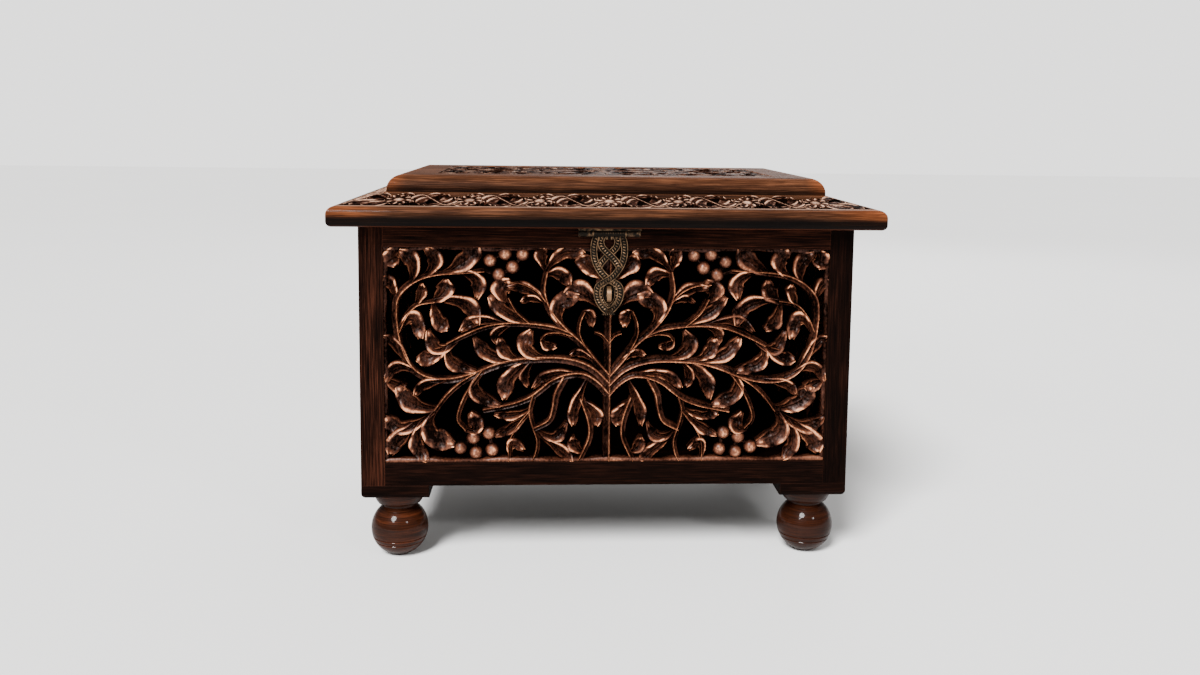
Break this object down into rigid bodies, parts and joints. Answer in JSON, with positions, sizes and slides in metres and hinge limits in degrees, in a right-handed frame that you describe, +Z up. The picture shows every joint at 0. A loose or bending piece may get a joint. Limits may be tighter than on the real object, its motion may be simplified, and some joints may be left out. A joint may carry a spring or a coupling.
{
  "type": "carved chest",
  "caption": "Small hinged-lid wooden chest on turned ball feet, with pierced floral carved panels, a raised carved lid and an ornamental brass hasp.",
  "frame": {"origin": "on the floor under the middle of the chest", "axes": "+X to the right of the front, +Y to the back, +Z up"},
  "size_m": [0.356, 0.254, 0.2565],
  "materials": {
    "frame_wood": "dark red-brown stain, satin",
    "turned_wood": "dark red-brown stain, polished",
    "carved_wood": "dark stain rubbed back to copper on the ridges",
    "lid_wood": "warm brown stain, gloss",
    "antique_brass": "aged brass"
  },
  "bodies": {
    "base": {"floor_board": "frame_wood", "foot_back_left": "turned_wood", "foot_back_right": "turned_wood", "foot_front_left": "turned_wood", "foot_front_right": "turned_wood", "hasp_staple": "antique_brass", "hinge_base_screws": "antique_brass", "hinge_left_base_leaf": "antique_brass", "hinge_left_pin": "antique_brass", "hinge_right_base_leaf": "antique_brass", "hinge_right_pin": "antique_brass", "pad_back_left": "frame_wood", "pad_back_right": "frame_wood", "pad_front_left": "frame_wood", "pad_front_right": "frame_wood", "panel_back": "frame_wood", "panel_front": "carved_wood", "panel_left": "carved_wood", "panel_right": "carved_wood", "post_back_left": "frame_wood", "post_back_right": "frame_wood", "post_front_left": "frame_wood", "post_front_right": "frame_wood", "rail_bottom_back": "frame_wood", "rail_bottom_front": "frame_wood", "rail_bottom_left": "frame_wood", "rail_bottom_right": "frame_wood", "rail_top_back": "frame_wood", "rail_top_front": "frame_wood", "rail_top_left": "frame_wood", "rail_top_right": "frame_wood"},
    "lid": {"hasp_lid_leaf": "antique_brass", "hasp_pin": "antique_brass", "hasp_screws": "antique_brass", "hinge_left_lid_leaf": "antique_brass", "hinge_lid_screws": "antique_brass", "hinge_right_lid_leaf": "antique_brass", "lid_moulding_back": "lid_wood", "lid_moulding_front": "lid_wood", "lid_moulding_left": "lid_wood", "lid_moulding_right": "lid_wood", "lid_raised_board": "lid_wood"},
    "hasp": {"hasp_plate": "antique_brass"}
  },
  "joints": [
    {"name": "lid_hinge", "type": "hinge", "parent": "base", "child": "lid", "pos_m": [0, 0.1127, 0.2223], "axis": [-1, 0, 0], "range_deg": [0, 100]},
    {"name": "hasp_hinge", "type": "hinge", "parent": "lid", "child": "hasp", "pos_m": [0, -0.1132, 0.2215], "axis": [-1, 0, 0], "range_deg": [0, 105]}
  ]
}
